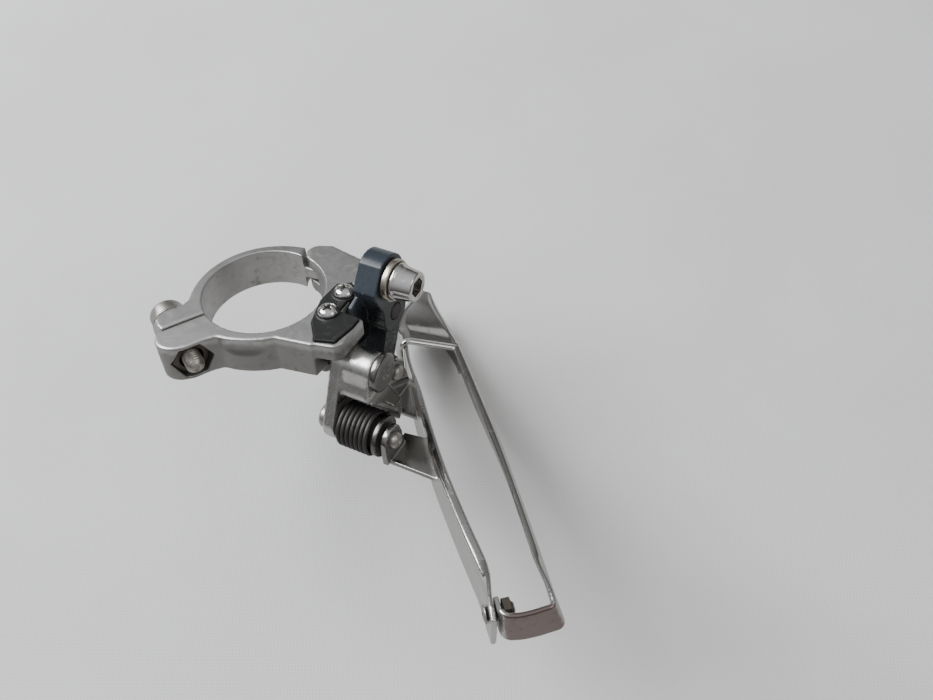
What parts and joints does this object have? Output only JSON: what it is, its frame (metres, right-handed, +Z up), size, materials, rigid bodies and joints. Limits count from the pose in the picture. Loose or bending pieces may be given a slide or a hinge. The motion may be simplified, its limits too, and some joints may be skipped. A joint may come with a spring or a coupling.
{
  "type": "front derailleur",
  "caption": "Front derailleur with a hinged seat tube clamp, a sprung skewed parallelogram, two limit screws and a chromed chain cage.",
  "frame": {"origin": "on the upper edge face of the clamp band, in the middle of its wall, 15.2 mm from the axis of the clamp bore", "axes": "+X to the drive side, +Y forward, +Z up along the seat tube"},
  "size_m": [0.0762, 0.107, 0.0549],
  "materials": {
    "cast_aluminium": "satin cast, worn",
    "polished_aluminium": "polished",
    "black_paint": "gloss, chipped",
    "black_plastic": "matte",
    "chrome": "polished, light scratches",
    "spring_steel": "dark oiled",
    "steel": "plain, dirty",
    "oxidised_steel": "oxidised"
  },
  "bodies": {
    "bracket": {"clamp_bracket": "cast_aluminium", "band_hinge_pin": "steel", "clamp_nut": "steel", "limit_screw_plate": "black_plastic", "inner_pivot_pin": "steel", "outer_pivot_pin": "steel"},
    "clamp_band": {"clamp_band": "cast_aluminium"},
    "clamp_bolt": {"clamp_bolt": "steel", "clamp_bolt_washer": "steel"},
    "low_limit_screw": {"low_limit_screw": "chrome"},
    "high_limit_screw": {"high_limit_screw": "chrome"},
    "inner_link": {"inner_link": "polished_aluminium", "spring_bushing": "polished_aluminium", "spring_pin": "steel", "return_spring": "spring_steel"},
    "outer_link": {"outer_link": "black_paint", "outer_cage_pin": "steel", "cable_clamp_washer": "chrome"},
    "cable_anchor_bolt": {"cable_anchor_bolt": "chrome"},
    "cage": {"inner_cage_plate": "chrome", "outer_cage_plate": "chrome", "cage_rear_screw": "oxidised_steel", "cage_rear_nut": "oxidised_steel"}
  },
  "joints": [
    {"name": "inner_link_pivot", "type": "hinge", "parent": "bracket", "child": "inner_link", "pos_m": [0.02495, -0.03294, -0.009], "axis": [0.766, -0.6428, 0], "range_deg": [0, 36]},
    {"name": "outer_link_pivot", "type": "hinge", "parent": "bracket", "child": "outer_link", "pos_m": [0.03422, -0.01722, -0.008], "axis": [0.766, -0.6428, 0], "range_deg": [0, 36]},
    {"name": "cage_pivot", "type": "hinge", "parent": "inner_link", "child": "cage", "pos_m": [0.02985, -0.04515, -0.023], "axis": [0.766, -0.6428, 0], "range_deg": [-36, 0]},
    {"name": "cable_anchor_turn", "type": "hinge", "parent": "outer_link", "child": "cable_anchor_bolt", "pos_m": [0.03907, -0.02234, 0.0026], "axis": [0.766, -0.6428, 0], "continuous": true},
    {"name": "low_limit_screw_turn", "type": "hinge", "parent": "bracket", "child": "low_limit_screw", "pos_m": [0.02116, -0.02532, 0.001], "axis": [0, 0, 1], "continuous": true},
    {"name": "high_limit_screw_turn", "type": "hinge", "parent": "bracket", "child": "high_limit_screw", "pos_m": [0.02556, -0.01961, 0.001], "axis": [0, 0, 1], "continuous": true},
    {"name": "band_hinge", "type": "hinge", "parent": "bracket", "child": "clamp_band", "pos_m": [0.0215, -0.00269, -0.005], "axis": [0, 0, -1], "range_deg": [0, 1]},
    {"name": "clamp_bolt_turn", "type": "hinge", "parent": "clamp_band", "child": "clamp_bolt", "pos_m": [-0.01237, -0.01965, -0.005], "axis": [0.309, -0.9511, 0], "continuous": true}
  ],
  "couplings": [
    {"joint": "outer_link_pivot", "follows": "inner_link_pivot", "ratio": 1},
    {"joint": "cage_pivot", "follows": "inner_link_pivot", "ratio": -1}
  ]
}
